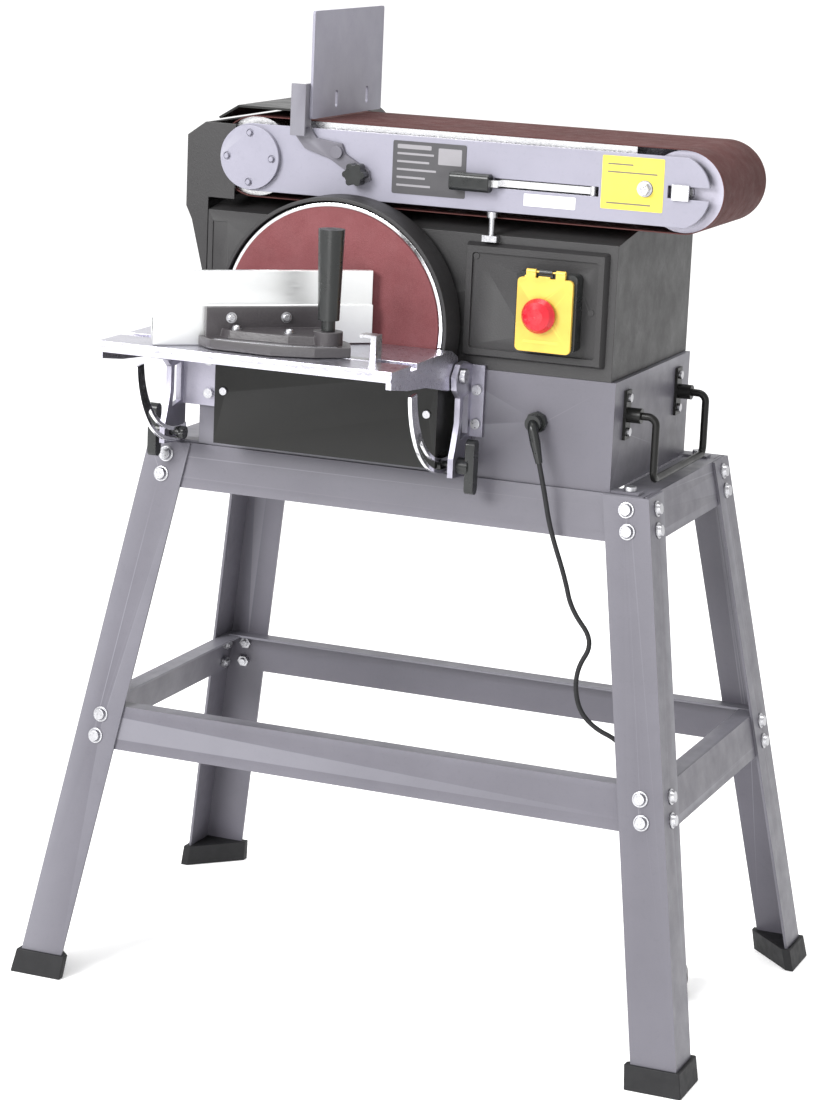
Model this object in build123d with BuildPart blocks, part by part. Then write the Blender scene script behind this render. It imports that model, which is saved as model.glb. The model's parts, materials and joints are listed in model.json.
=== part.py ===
from build123d import *
import math
import os

os.makedirs("parts", exist_ok=True)

# ---------------------------------------------------------------- driving dimensions, mm
# X runs to the right along the front, Y to the back, Z up from the floor.
FRAME_SHIFT_Y = 51.0        # the stand's middle lies this far behind the frame's origin

STAND_TOP = 602.0           # top of the stand's rails
LEG_TOP_X = 287.5           # leg corner at the top
LEG_TOP_Y = 141.0
LEG_FLOOR_X = 388.0         # leg corner at floor level
LEG_FLOOR_Y = 240.0
ANGLE = 50.0                # flange of the leg's angle section
SHEET = 3.0                 # sheet thickness of the legs
RAIL_SHEET = 2.5
TOP_RAIL_LOW = 553.0
LOW_RAIL_TOP = 308.0
LOW_RAIL_LOW = 260.0
BOLT_R = 4.0
BOLT_HOLE_R = 4.3

BASE_X0, BASE_X1 = -230.0, 243.0
BODY_Y0, BODY_Y1 = -135.0, 120.0
BASE_Z0, BASE_Z1 = 602.2, 717.0
RECESS_X0, RECESS_X1 = -184.0, 78.0
RECESS_Y = -80.0
COVER_X0, COVER_X1 = -187.0, 68.2
COVER_Y = -188.4
COVER_Z0, COVER_Z1 = 616.0, 716.0
HOUSE_X0, HOUSE_X1 = -226.0, 238.0
HOUSE_Z1 = 858.0
ROOF_Z = 868.0
WALL = 3.0

DISC_X, DISC_Z = -59.0, 757.0
DISC_R = 125.0
DISC_FACE_Y = -180.0
GUARD_R = 131.0

DRUM_X, DRUM_Z = -175.0, 918.0
DRUM_R = 42.0
BELT_T = 1.0
BELT_W = 150.0
BELT_LOOP = 1220.0
BELT_Y0, BELT_Y1 = -130.0, 20.0
DRUM_MID_R = DRUM_R + BELT_T / 2
IDLER_X = DRUM_X + (BELT_LOOP - 2 * math.pi * DRUM_MID_R) / 2
PLATE_Y0, PLATE_Y1 = -139.0, -135.0
REAR_Y0, REAR_Y1 = 25.0, 29.0
PLATE_HALF = 35.5

TABLE_X0, TABLE_X1 = -246.0, 80.0
TABLE_Y0, TABLE_Y1 = -345.0, -184.0
TABLE_Z = 741.0
TABLE_T = 11.0
PIVOT_Y, PIVOT_Z = -172.0, 714.0
QUAD_R = 95.0
SLOT_Y = -287.0
SLOT_W = 16.0
MITER_X = -15.0
MITER_ANGLE = 40.0

CORD_R = 2.6


# ---------------------------------------------------------------- small helpers
def save(builder, name):
    """Moves a finished part into the shared frame and writes it."""
    moved = Pos(0, FRAME_SHIFT_Y, 0) * builder.part
    moved.label = name
    export_step(moved, f"parts/{name}.step")
    box = moved.bounding_box()
    spans[name] = box
    return moved


spans = {}


def block(x0, x1, y0, y1, z0, z1, mode=Mode.ADD):
    """A box between two corners."""
    with Locations(((x0 + x1) / 2, (y0 + y1) / 2, (z0 + z1) / 2)):
        Box(x1 - x0, y1 - y0, z1 - z0, mode=mode)


def rod_x(radius, x0, x1, y, z, mode=Mode.ADD):
    """A cylinder along X."""
    with Locations(Location(((x0 + x1) / 2, y, z), (0, 90, 0))):
        Cylinder(radius, x1 - x0, mode=mode)


def rod_y(radius, x, y0, y1, z, mode=Mode.ADD):
    """A cylinder along Y."""
    with Locations(Location((x, (y0 + y1) / 2, z), (90, 0, 0))):
        Cylinder(radius, y1 - y0, mode=mode)


def rod_z(radius, x, y, z0, z1, mode=Mode.ADD):
    """A cylinder along Z."""
    with Locations((x, y, (z0 + z1) / 2)):
        Cylinder(radius, z1 - z0, mode=mode)


def front_plane(y):
    """A sketch plane seen from the front: local x is X, local y is Z."""
    return Plane(origin=(0, y, 0), x_dir=(1, 0, 0), z_dir=(0, -1, 0))


def side_plane(x):
    """A sketch plane seen from the right: local x is Y, local y is Z."""
    return Plane(origin=(x, 0, 0), x_dir=(0, 1, 0), z_dir=(1, 0, 0))


# ---------------------------------------------------------------- stand
def leg_x(z):
    return LEG_FLOOR_X + (LEG_TOP_X - LEG_FLOOR_X) * z / STAND_TOP


def leg_y(z):
    return LEG_FLOOR_Y + (LEG_TOP_Y - LEG_FLOOR_Y) * z / STAND_TOP


SLOPE_X = math.degrees(math.atan((LEG_FLOOR_X - LEG_TOP_X) / STAND_TOP))
SLOPE_Y = math.degrees(math.atan((LEG_FLOOR_Y - LEG_TOP_Y) / STAND_TOP))
BOLT_HEIGHTS = (588.0, 566.0, 297.0, 273.0)


def bolt_places(sx, sy):
    """Bolt centre lines of one leg: on its front or back flange, then on its side flange."""
    front = []
    side = []
    for z in BOLT_HEIGHTS:
        x = sx * (leg_x(z) - 25)
        y = sy * leg_y(z)
        front.append(Location((x, y, z), (-90 * sy + SLOPE_Y * sy, 0, 0)))
        x = sx * leg_x(z)
        y = sy * (leg_y(z) - 25)
        side.append(Location((x, y, z), (0, 90 * sx - SLOPE_X * sx, 0)))
    return front, side


def angle_outline(sx, sy, z, grow=0.0):
    """The L section of a leg at height z."""
    x = leg_x(z) + grow
    y = leg_y(z) + grow
    inner_x = leg_x(z) - SHEET - grow
    inner_y = leg_y(z) - SHEET - grow
    end_x = leg_x(z) - ANGLE - grow
    end_y = leg_y(z) - ANGLE - grow
    points = [(x, y), (end_x, y), (end_x, inner_y), (inner_x, inner_y), (inner_x, end_y), (x, end_y)]
    return [(sx * px, sy * py) for px, py in points]


def angle_post(sx, sy, z0, z1, grow=0.0, mode=Mode.ADD):
    sections = []
    for z in (z0, z1):
        with BuildSketch(Plane.XY.offset(z)) as section:
            with BuildLine():
                Polyline(*angle_outline(sx, sy, z, grow), close=True)
            make_face()
        sections.append(section.sketch)
    loft(sections=sections, ruled=True, mode=mode)


def make_leg(sx, sy):
    front, side = bolt_places(sx, sy)
    with BuildPart() as leg:
        angle_post(sx, sy, 4.0, STAND_TOP - 0.5)
        with Locations(*front, *side):
            Cylinder(BOLT_HOLE_R, 24, mode=Mode.SUBTRACT)
    return leg


for leg_name, leg_sx, leg_sy in (
    ("leg_front_left", -1, -1),
    ("leg_front_right", 1, -1),
    ("leg_back_left", -1, 1),
    ("leg_back_right", 1, 1),
):
    save(make_leg(leg_sx, leg_sy), leg_name)


def foot_outline(sx, sy, corner_x, corner_y, length):
    points = [
        (corner_x, corner_y),
        (corner_x - length, corner_y),
        (corner_x - length, corner_y - 9),
        (corner_x - 9, corner_y - length),
        (corner_x, corner_y - length),
    ]
    return [(sx * px, sy * py) for px, py in points]


with BuildPart() as feet:
    for foot_sx in (-1, 1):
        for foot_sy in (-1, 1):
            with BuildSketch(Plane.XY):
                with BuildLine():
                    Polyline(*foot_outline(foot_sx, foot_sy, LEG_FLOOR_X + 5, LEG_FLOOR_Y + 5, 62), close=True)
                make_face()
            with BuildSketch(Plane.XY.offset(26)):
                with BuildLine():
                    Polyline(*foot_outline(foot_sx, foot_sy, LEG_FLOOR_X, LEG_FLOOR_Y, 60), close=True)
                make_face()
            loft(ruled=True)
    for foot_sx in (-1, 1):
        for foot_sy in (-1, 1):
            angle_post(foot_sx, foot_sy, 3.8, 30.0, 0.25, Mode.SUBTRACT)
save(feet, "feet")


def rail_outline(reach, z0, z1, flange, inward):
    """Section of a rail: a web that follows the leg's slope and a flange at its top."""
    def out(z):
        return reach(z) - SHEET - 0.15
    return [
        (inward * out(z0), z0),
        (inward * out(z1), z1),
        (inward * (out(z1) - flange), z1),
        (inward * (out(z1) - flange), z1 - RAIL_SHEET),
        (inward * (out(z1 - RAIL_SHEET) - RAIL_SHEET), z1 - RAIL_SHEET),
        (inward * (out(z0) - RAIL_SHEET), z0),
    ]


def rail_pair(along_x, z0, z1, flange, half, flange_half, bolt_zs):
    """Two equal rails, front and back or left and right."""
    with BuildPart() as rails:
        for side in (-1, 1):
            plane = side_plane(0) if along_x else front_plane(0)
            reach = leg_y if along_x else leg_x
            with BuildSketch(plane):
                with BuildLine():
                    Polyline(*rail_outline(reach, z0, z1, flange, side), close=True)
                make_face()
            extrude(amount=half, both=True)
        for sx in (-1, 1):
            for sy in (-1, 1):
                front, side_bolts = bolt_places(sx, sy)
                spots = front if along_x else side_bolts
                with Locations(*[spots[k] for k in bolt_zs]):
                    Cylinder(BOLT_HOLE_R, 24, mode=Mode.SUBTRACT)
        if flange_half < half:
            edge = (leg_y(z1) if along_x else leg_x(z1)) - SHEET - 3.2
            for sx in (-1, 1):
                for end in (-1, 1):
                    a0, a1 = sorted((sx * (edge - flange - 5), sx * edge))
                    b0, b1 = sorted((end * flange_half, end * (half + 1)))
                    block(a0, a1, b0, b1, z1 - RAIL_SHEET - 1, z1 + 1, Mode.SUBTRACT)
        if z1 == STAND_TOP:
            if along_x:
                for x in (-262.0, 262.0):
                    for y in (-125.0, 112.0):
                        rod_z(3.3, x, y, z1 - 6, z1 + 1, Mode.SUBTRACT)
    return rails


LOW_HALF_X = leg_x(LOW_RAIL_TOP) - SHEET - RAIL_SHEET - 1.5
LOW_HALF_Y = leg_y(LOW_RAIL_TOP) - SHEET - RAIL_SHEET - 1.0
save(rail_pair(True, TOP_RAIL_LOW, STAND_TOP, 30, 280.5, 300, (0, 1)), "rails_top_long")
save(rail_pair(False, TOP_RAIL_LOW, STAND_TOP, 38, 134.0, 107.0, (0, 1)), "rails_top_short")
save(rail_pair(True, LOW_RAIL_LOW, LOW_RAIL_TOP, 20, LOW_HALF_X, 400, (2, 3)), "rails_low_long")
save(rail_pair(False, LOW_RAIL_LOW, LOW_RAIL_TOP, 20, LOW_HALF_Y, LOW_HALF_Y - 20, (2, 3)), "rails_low_short")

with BuildPart() as stand_bolts:
    for bolt_sx in (-1, 1):
        for bolt_sy in (-1, 1):
            bolt_front, bolt_side = bolt_places(bolt_sx, bolt_sy)
            for bolt_spot in bolt_front + bolt_side:
                with BuildSketch(Plane(bolt_spot)):
                    Circle(BOLT_R)
                extrude(amount=-13.5)
                with BuildSketch(Plane(bolt_spot).offset(0.1)):
                    Circle(8.5)
                extrude(amount=1.4)
                with BuildSketch(Plane(bolt_spot).offset(1.5)):
                    Circle(7)
                extrude(amount=4, taper=18)
                with BuildSketch(Plane(bolt_spot).offset(-(SHEET + RAIL_SHEET + 0.45))):
                    RegularPolygon(7.2, 6)
                extrude(amount=-5)
                with BuildSketch(Plane(bolt_spot)):
                    Circle(BOLT_R)
                extrude(amount=2)
save(stand_bolts, "stand_bolts")

# ---------------------------------------------------------------- cabinet
TABS = ((-244.0, -262.0), (257.0, 262.0))
with BuildPart() as base_cabinet:
    block(BASE_X0, BASE_X1, BODY_Y0, BODY_Y1, BASE_Z0, BASE_Z1)
    block(BASE_X0 + 2.5, BASE_X1 - 2.5, BODY_Y0 + 2.5, BODY_Y1 - 2.5, BASE_Z0 - 1, BASE_Z1 + 1, Mode.SUBTRACT)
    # floor flange that rests on the stand
    block(BASE_X0, BASE_X1, BODY_Y0, BODY_Y1, BASE_Z0, BASE_Z0 + 2.5)
    block(BASE_X0 + 20, BASE_X1 - 20, BODY_Y0 + 20, BODY_Y1 - 20, BASE_Z0 - 1, BASE_Z0 + 5, Mode.SUBTRACT)
    # recess behind the disc
    block(RECESS_X0, RECESS_X1, BODY_Y0 - 1, RECESS_Y, BASE_Z0 - 1, BASE_Z1 + 1, Mode.SUBTRACT)
    block(RECESS_X0 - 2.5, RECESS_X0, BODY_Y0, RECESS_Y, BASE_Z0, BASE_Z1)
    block(RECESS_X1, RECESS_X1 + 2.5, BODY_Y0, RECESS_Y, BASE_Z0, BASE_Z1)
    block(RECESS_X0 - 2.5, 66, BODY_Y0, BODY_Y0 + 2.5, BASE_Z0, COVER_Z0 + 4)
    # rim that carries the housing, and tabs that are bolted to the stand
    block(BASE_X0 + 2.5, BASE_X1 - 2.5, BODY_Y1 - 14, BODY_Y1 - 2.5, BASE_Z1 - 2.5, BASE_Z1)
    block(BASE_X1 - 14, BASE_X1 - 2.5, BODY_Y0 + 2.5, BODY_Y1 - 14, BASE_Z1 - 2.5, BASE_Z1)
    for tab_in, tab_x in TABS:
        for tab_y in (-125.0, 112.0):
            tab_x0, tab_x1 = sorted((tab_in - math.copysign(16, tab_x), math.copysign(274, tab_x)))
            block(tab_x0, tab_x1, tab_y - 8 if tab_y > 0 else tab_y - 9, tab_y + 8, BASE_Z0, BASE_Z0 + 2.5)
            rod_z(3.3, tab_x, tab_y, BASE_Z0 - 1, BASE_Z0 + 4, Mode.SUBTRACT)
    rod_y(7.2, 160, BODY_Y0 - 1, BODY_Y0 + 4, 668, Mode.SUBTRACT)
    for tab_y in (-97.0, 77.0):
        for screw_z in (697.0, 661.0):
            rod_x(2.7, BASE_X1 - 4, BASE_X1 + 1, tab_y, screw_z, Mode.SUBTRACT)
    for flange_x in (-216.0, 94.0):
        for screw_z in (696.0, 660.0):
            rod_y(3.3, flange_x, BODY_Y0 - 1, BODY_Y0 + 4, screw_z, Mode.SUBTRACT)
save(base_cabinet, "base_cabinet")

with BuildPart() as front_panel:
    block(RECESS_X0 + 0.4, RECESS_X1 - 0.4, RECESS_Y - 2.4, RECESS_Y - 0.3, BASE_Z0 + 2.8, BASE_Z1 - 0.4)
    block(RECESS_X0 + 0.4, RECESS_X0 + 2.4, RECESS_Y - 20, RECESS_Y - 2.4, BASE_Z0 + 2.8, BASE_Z1 - 0.4)
    block(RECESS_X1 - 2.4, RECESS_X1 - 0.4, RECESS_Y - 20, RECESS_Y - 2.4, BASE_Z0 + 2.8, BASE_Z1 - 0.4)
    block(-120, 2, RECESS_Y - 2.9, RECESS_Y + 1, 640, 690, Mode.SUBTRACT)
    with BuildSketch(front_plane(RECESS_Y - 2.4)):
        with Locations((-59, 665)):
            Rectangle(150, 70)
            Rectangle(122, 50, mode=Mode.SUBTRACT)
    extrude(amount=3)
    # cover over the lower half of the disc, open at the top and at the back
    block(COVER_X0, COVER_X1, COVER_Y, COVER_Y + 2, COVER_Z0, COVER_Z1)
    block(COVER_X0, COVER_X0 + 2, COVER_Y, BODY_Y0 - 0.3, COVER_Z0, COVER_Z1)
    block(COVER_X1 - 2, COVER_X1, COVER_Y, BODY_Y0 - 0.3, COVER_Z0, COVER_Z1)
    block(COVER_X0, COVER_X1, COVER_Y, BODY_Y0 - 0.3, COVER_Z0, COVER_Z0 + 2)
    # notch that clears the tilt lock bolt
    block(61, COVER_X1 + 1, -181, -156, COVER_Z0 - 1, 631, Mode.SUBTRACT)
    for screw_x in (-176.5, 57.0):
        rod_y(2.6, screw_x, COVER_Y - 1, COVER_Y + 3, 673, Mode.SUBTRACT)
save(front_panel, "disc_cover")

ROOF_STEP = BODY_Y0 + 60


def housing_profile(inset):
    """Side outline of the upper housing, seen from the right."""
    return [
        (BODY_Y0 + inset, BASE_Z1 + 0.3),
        (BODY_Y0 + inset, HOUSE_Z1 - inset),
        (ROOF_STEP, ROOF_Z - inset),
        (BODY_Y1 - inset, ROOF_Z - inset),
        (BODY_Y1 - inset, BASE_Z1 + 0.3),
    ]


with BuildPart() as housing:
    with BuildSketch(side_plane(HOUSE_X0)):
        with BuildLine():
            Polyline(*housing_profile(0), close=True)
        make_face()
    extrude(amount=HOUSE_X1 - HOUSE_X0)
    with BuildSketch(side_plane(HOUSE_X0 + WALL)):
        with BuildLine():
            Polyline(*housing_profile(WALL), close=True)
        make_face()
    extrude(amount=HOUSE_X1 - HOUSE_X0 - 2 * WALL, mode=Mode.SUBTRACT)
    # opening under the disc that lets dust fall into the recess
    block(RECESS_X0, RECESS_X1, BODY_Y0 + WALL, RECESS_Y, BASE_Z1 + 0.3, BASE_Z1 + 3.3)
    # bearing tower behind the belt arm
    block(-213, -137, 42, 117.5, ROOF_Z - 2, 952)
    block(-190, -160, 50, 110, ROOF_Z - 5, 890, Mode.SUBTRACT)
    rod_y(17.3, DRUM_X, 41, 119, DRUM_Z, Mode.SUBTRACT)
    rod_y(13, DISC_X, BODY_Y0 - 1, BODY_Y0 + 4, DISC_Z, Mode.SUBTRACT)
    rod_y(13, DISC_X, BODY_Y1 - 4, BODY_Y1 + 1, DISC_Z, Mode.SUBTRACT)
    # window behind the switch, and a shallow field at the left of the front
    block(150, 196, BODY_Y0 - 1, BODY_Y0 + 4, 760, 815, Mode.SUBTRACT)
    block(-220, -203, BODY_Y0 - 1, BODY_Y0 + 1.2, 780, 846, Mode.SUBTRACT)
save(housing, "housing")

with BuildPart() as switch_panel:
    with BuildSketch(front_plane(BODY_Y0 - 0.3)):
        with Locations((151.5, 790)):
            RectangleRounded(157, 120, 3)
    extrude(amount=9, taper=20)
    with BuildSketch(front_plane(BODY_Y0 - 9.3)):
        with Locations((151.5, 790)):
            RectangleRounded(138, 100, 3)
    extrude(amount=-3, mode=Mode.SUBTRACT)
    block(143.5, 198.5, BODY_Y0 - 8, BODY_Y0 + 1, 757.5, 817.5, Mode.SUBTRACT)
    with Locations(Location((86, BODY_Y0 - 6.3, 836), (90, 0, 0)), Location((214, BODY_Y0 - 6.3, 788), (90, 0, 0))):
        Cylinder(3.4, 2)
save(switch_panel, "switch_panel")

with BuildPart() as switch_box:
    with BuildSketch(front_plane(BODY_Y0 - 6.6)):
        with Locations((171, 787)):
            RectangleRounded(66, 80, 5)
    extrude(amount=18)
    block(144, 198, BODY_Y0 - 8, BODY_Y0 - 0.2, 758, 817)
    block(150.5, 195.5, BODY_Y0 - 1, BODY_Y0 + 24, 760.5, 814.5)
    with BuildSketch(front_plane(BODY_Y0 - 24.6)):
        with Locations((171, 787)):
            RectangleRounded(56, 70, 3)
    extrude(amount=-5, mode=Mode.SUBTRACT)
    rod_y(9.3, 171, BODY_Y0 - 26, BODY_Y0 + 2, 802, Mode.SUBTRACT)
    # knuckle of the flap's hinge
    rod_x(2.5, 164, 178, BODY_Y0 - 27.4, 828.4)
    block(164, 178, BODY_Y0 - 27, BODY_Y0 - 24.5, 822.5, 828.4)
    rod_x(1.1, 163, 179, BODY_Y0 - 27.4, 828.4, Mode.SUBTRACT)
save(switch_box, "switch_box")

FLAP_Y = BODY_Y0 - 27.4
with BuildPart() as switch_flap:
    with BuildSketch(front_plane(BODY_Y0 - 25.2)):
        with Locations((171, 784)):
            RectangleRounded(60, 76, 5)
    extrude(amount=4.4)
    block(142.5, 144.5, BODY_Y0 - 25.2, BODY_Y0 - 24.8, 760, 808)
    for knuckle_x in (150.0, 182.0):
        rod_x(2.5, knuckle_x, knuckle_x + 10, FLAP_Y, 828.4)
        block(knuckle_x, knuckle_x + 10, BODY_Y0 - 29.5, BODY_Y0 - 25.6, 820, 827)
    rod_x(1.0, 155, 187, FLAP_Y, 828.4)
    rod_y(12.2, 167, BODY_Y0 - 31, BODY_Y0 - 24, 784, Mode.SUBTRACT)
save(switch_flap, "switch_flap")

with BuildPart() as stop_button:
    with BuildSketch(Plane.XZ):
        with BuildLine():
            Polyline((0, 0), (0, 20.5), (8, 19.5), (14.5, 16), (18, 10.5), (18, 8), (12, 8), (12, 0), close=True)
        make_face()
    revolve(axis=Axis.Z)
stop_placed = Location((167, BODY_Y0 - 25.4, 784), (90, 0, 0)) * stop_button.part
with BuildPart() as stop_button_placed:
    add(stop_placed)
save(stop_button_placed, "stop_button")

with BuildPart() as start_button:
    rod_y(9.0, 171, BODY_Y0 - 22.2, BODY_Y0 - 3, 802)
save(start_button, "start_button")
# ---------------------------------------------------------------- mains lead
GLAND_X, GLAND_Z = 160.0, 668.0
BOOT_TOP = Vector(166, -156, 650)
BOOT_DIR = Vector(0.288, -0.108, -0.951).normalized()
BOOT_END = BOOT_TOP + BOOT_DIR * 22
with BuildPart() as cable_gland:
    rod_y(7.0, GLAND_X, BODY_Y0 - 4, BODY_Y0 + 8, GLAND_Z)
    with BuildSketch(front_plane(BODY_Y0 - 0.2)):
        with Locations((GLAND_X, GLAND_Z)):
            RegularPolygon(11.5, 8)
    extrude(amount=7)
    rod_y(8.6, GLAND_X, -151, BODY_Y0 - 7, GLAND_Z)
    # elbow that turns the lead down the wall, then a tapered boot
    with BuildLine() as elbow_line:
        FilletPolyline((GLAND_X, -144, GLAND_Z), (GLAND_X + 0.6, -154.2, 667.6), BOOT_TOP, radius=7.5)
    with BuildSketch(Plane(origin=(GLAND_X, -144, GLAND_Z), z_dir=(0, -1, 0))):
        Circle(5.4)
    sweep(path=elbow_line.wires()[0])
    with BuildSketch(Plane(origin=BOOT_TOP - BOOT_DIR * 0.5, z_dir=BOOT_DIR)):
        Circle(5.5)
    with BuildSketch(Plane(origin=BOOT_END, z_dir=BOOT_DIR)):
        Circle(3.7)
    loft()
save(cable_gland, "cable_gland")

CORD_START_Y = BODY_Y0 - 27.2
CORD_PATH = (
    (BOOT_END.X, BOOT_END.Y, BOOT_END.Z),
    (181.0, -161.6, 600.0),
    (188.0, -159.0, 562.0),
    (208.0, -160.0, 512.0),
    (217.0, -162.0, 480.0),
    (245.0, -163.0, 449.0),
    (226.0, -164.0, 416.0),
    (230.0, -165.0, 378.0),
    (249.0, -163.0, 357.0),
    (279.0, -160.0, 346.0),
    (300.0, -157.0, 310.0),
    (309.0, -160.0, 250.0),
    (326.0, -173.0, 190.0),
    (341.0, -186.0, 125.0),
    (351.0, -190.0, 66.0),
    (352.0, -172.0, 24.0),
    (343.0, -140.0, 3.5),
    (338.0, -122.0, 2.8),
)


def corner_radii(points, share=0.45):
    """A tangent arc for each inner point, as large as its shorter run allows."""
    radii = []
    for a, b, c in zip(points, points[1:], points[2:]):
        u = Vector(*b) - Vector(*a)
        v = Vector(*c) - Vector(*b)
        turn = math.radians(u.get_angle(v))
        radii.append(share * min(u.length, v.length) / math.tan(turn / 2))
    return radii


cord_radii = corner_radii(CORD_PATH)
print("cord corner radii", [round(r) for r in cord_radii])
with BuildPart() as mains_cord:
    with BuildLine() as cord_line:
        FilletPolyline(*CORD_PATH, radius=cord_radii)
    with BuildSketch(Plane(origin=BOOT_END, z_dir=BOOT_DIR)):
        Circle(CORD_R)
    sweep(path=cord_line.wires()[0])
cord_length = cord_line.wires()[0].length
print("cord length", round(cord_length), "volume ratio", mains_cord.part.volume / (math.pi * CORD_R**2 * cord_length))
save(mains_cord, "mains_cord")

HANK_START = Vector(337.5, -120.5, 0)
HANK_DIR = Vector(-0.283, 0.959, 0)
with BuildPart() as hank:
    with BuildSketch(Plane(origin=(HANK_START.X, HANK_START.Y, 0), x_dir=(-0.283, 0.959, 0), z_dir=(0, 0, 1))):
        with Locations((75, 0)):
            RectangleRounded(150, 34, 8)
    extrude(amount=58)
save(hank, "cord_hank")

PLUG_AT = HANK_START + HANK_DIR * 154
with BuildPart() as plug:
    plug_plane = Plane(origin=(PLUG_AT.X, PLUG_AT.Y, 19.5), x_dir=(0.959, 0.283, 0), z_dir=(-0.283, 0.959, 0))
    with BuildSketch(plug_plane):
        Circle(8)
    with BuildSketch(plug_plane.offset(16)):
        Circle(17)
    loft()
    with BuildSketch(plug_plane.offset(16)):
        Circle(19)
    extrude(amount=22)
    with BuildSketch(plug_plane.offset(38)):
        with Locations((-9.5, 0), (9.5, 0)):
            Circle(2.4)
    extrude(amount=19)
save(plug, "mains_plug")

# ---------------------------------------------------------------- motor and disc
with BuildPart() as motor:
    rod_y(66, DISC_X, -62, 78, DISC_Z)
    rod_y(58, DISC_X, -76, -62, DISC_Z)
    rod_y(62, DISC_X, 78, 98, DISC_Z)
    with Locations(Location((DISC_X, 8, DISC_Z), (90, 0, 0))):
        with PolarLocations(66, 24):
            Box(6, 3, 136)
    block(DISC_X - 50, DISC_X + 50, -54, -42, BASE_Z0 + 6, DISC_Z - 55)
    block(DISC_X - 50, DISC_X + 50, 50, 62, BASE_Z0 + 6, DISC_Z - 55)
    block(DISC_X - 62, DISC_X + 62, -74, BODY_Y1 - 3, BASE_Z0 + 2.8, BASE_Z0 + 6)
    rod_y(10.05, DISC_X, -78, 100, DISC_Z, Mode.SUBTRACT)
save(motor, "motor")

with BuildPart() as motor_shaft:
    rod_y(10.0, DISC_X, -166, 146, DISC_Z)
save(motor_shaft, "motor_shaft")

with BuildPart() as disc_plate:
    rod_y(DISC_R, DISC_X, -178, -168, DISC_Z)
    rod_y(24, DISC_X, -168, -146, DISC_Z)
    rod_y(10.0, DISC_X, -166, -140, DISC_Z, Mode.SUBTRACT)
save(disc_plate, "disc_plate")

with BuildPart() as abrasive_disc:
    rod_y(DISC_R - 2.0, DISC_X, DISC_FACE_Y, -178, DISC_Z)
save(abrasive_disc, "abrasive_disc")

with BuildPart() as disc_guard:
    rod_y(GUARD_R, DISC_X, -182, -142.6, DISC_Z)
    rod_y(GUARD_R - 4, DISC_X, -183, -145.6, DISC_Z, Mode.SUBTRACT)
    rod_y(118, DISC_X, -142.6, BODY_Y0 - 0.3, DISC_Z)
    rod_y(112, DISC_X, -142.6, BODY_Y0 + 1, DISC_Z, Mode.SUBTRACT)
    rod_y(30, DISC_X, -146, BODY_Y0 + 1, DISC_Z, Mode.SUBTRACT)
save(disc_guard, "disc_guard")

PULLEY_Y0, PULLEY_Y1 = 124.0, 144.0


def make_pulley(x, z, radius, bore):
    with BuildPart() as pulley:
        rod_y(radius, x, PULLEY_Y0, PULLEY_Y1, z)
        rod_y(radius + 3, x, PULLEY_Y0, PULLEY_Y0 + 2, z)
        rod_y(radius + 3, x, PULLEY_Y1 - 2, PULLEY_Y1, z)
        rod_y(bore, x, PULLEY_Y0 - 1, PULLEY_Y1 + 1, z, Mode.SUBTRACT)
    return pulley


MOTOR_PULLEY_R, DRUM_PULLEY_R = 20.0, 31.0
save(make_pulley(DISC_X, DISC_Z, MOTOR_PULLEY_R, 10.0), "pulley_motor")
save(make_pulley(DRUM_X, DRUM_Z, DRUM_PULLEY_R, 9.0), "pulley_drum")


def belt_loop(centres, radii, y0, y1, thickness, clearance=0.0):
    """A flat belt round two pulleys."""
    outer = [
        Pos(c[0], c[1]) * Circle(r + clearance + thickness)
        for c, r in zip(centres, radii)
    ]
    inner = [Pos(c[0], c[1]) * Circle(r + clearance) for c, r in zip(centres, radii)]
    ring = make_hull(outer[0].edges() + outer[1].edges()) - make_hull(inner[0].edges() + inner[1].edges())
    return ring


cover_outer = [
    (Pos(DISC_X, DISC_Z) * Circle(MOTOR_PULLEY_R + 12)).edges(),
    (Pos(DRUM_X, DRUM_Z) * Circle(DRUM_PULLEY_R + 12)).edges(),
]
cover_lid = make_hull([*cover_outer[0], *cover_outer[1]])
drive_ring = belt_loop(((DISC_X, DISC_Z), (DRUM_X, DRUM_Z)), (MOTOR_PULLEY_R, DRUM_PULLEY_R), 0, 0, 2.2, 0.3)
with BuildPart() as drive_belt:
    with BuildSketch(front_plane(PULLEY_Y1 - 3)):
        add(drive_ring)
    extrude(amount=14)
save(drive_belt, "drive_belt")

cover_ring = belt_loop(((DISC_X, DISC_Z), (DRUM_X, DRUM_Z)), (MOTOR_PULLEY_R, DRUM_PULLEY_R), 0, 0, 3.0, 9.0)
with BuildPart() as pulley_cover:
    with BuildSketch(front_plane(152)):
        add(cover_ring)
    extrude(amount=31.6)
    with BuildSketch(front_plane(155)):
        add(cover_lid)
    extrude(amount=3)
save(pulley_cover, "pulley_cover")

# ---------------------------------------------------------------- belt arm
ARM_END = IDLER_X + 30


def arm_outline():
    """Long plate with a round end at the pivot and a round nose."""
    top = DRUM_Z + PLATE_HALF
    low = DRUM_Z - PLATE_HALF
    with BuildLine() as outline:
        Line((DRUM_X, top), (ARM_END - 24, top))
        RadiusArc((ARM_END - 24, top), (ARM_END - 24, low), 38)
        Line((ARM_END - 24, low), (DRUM_X, low))
        ThreePointArc((DRUM_X, low), (DRUM_X - PLATE_HALF, DRUM_Z), (DRUM_X, top))
    make_face(outline.edges())


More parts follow.
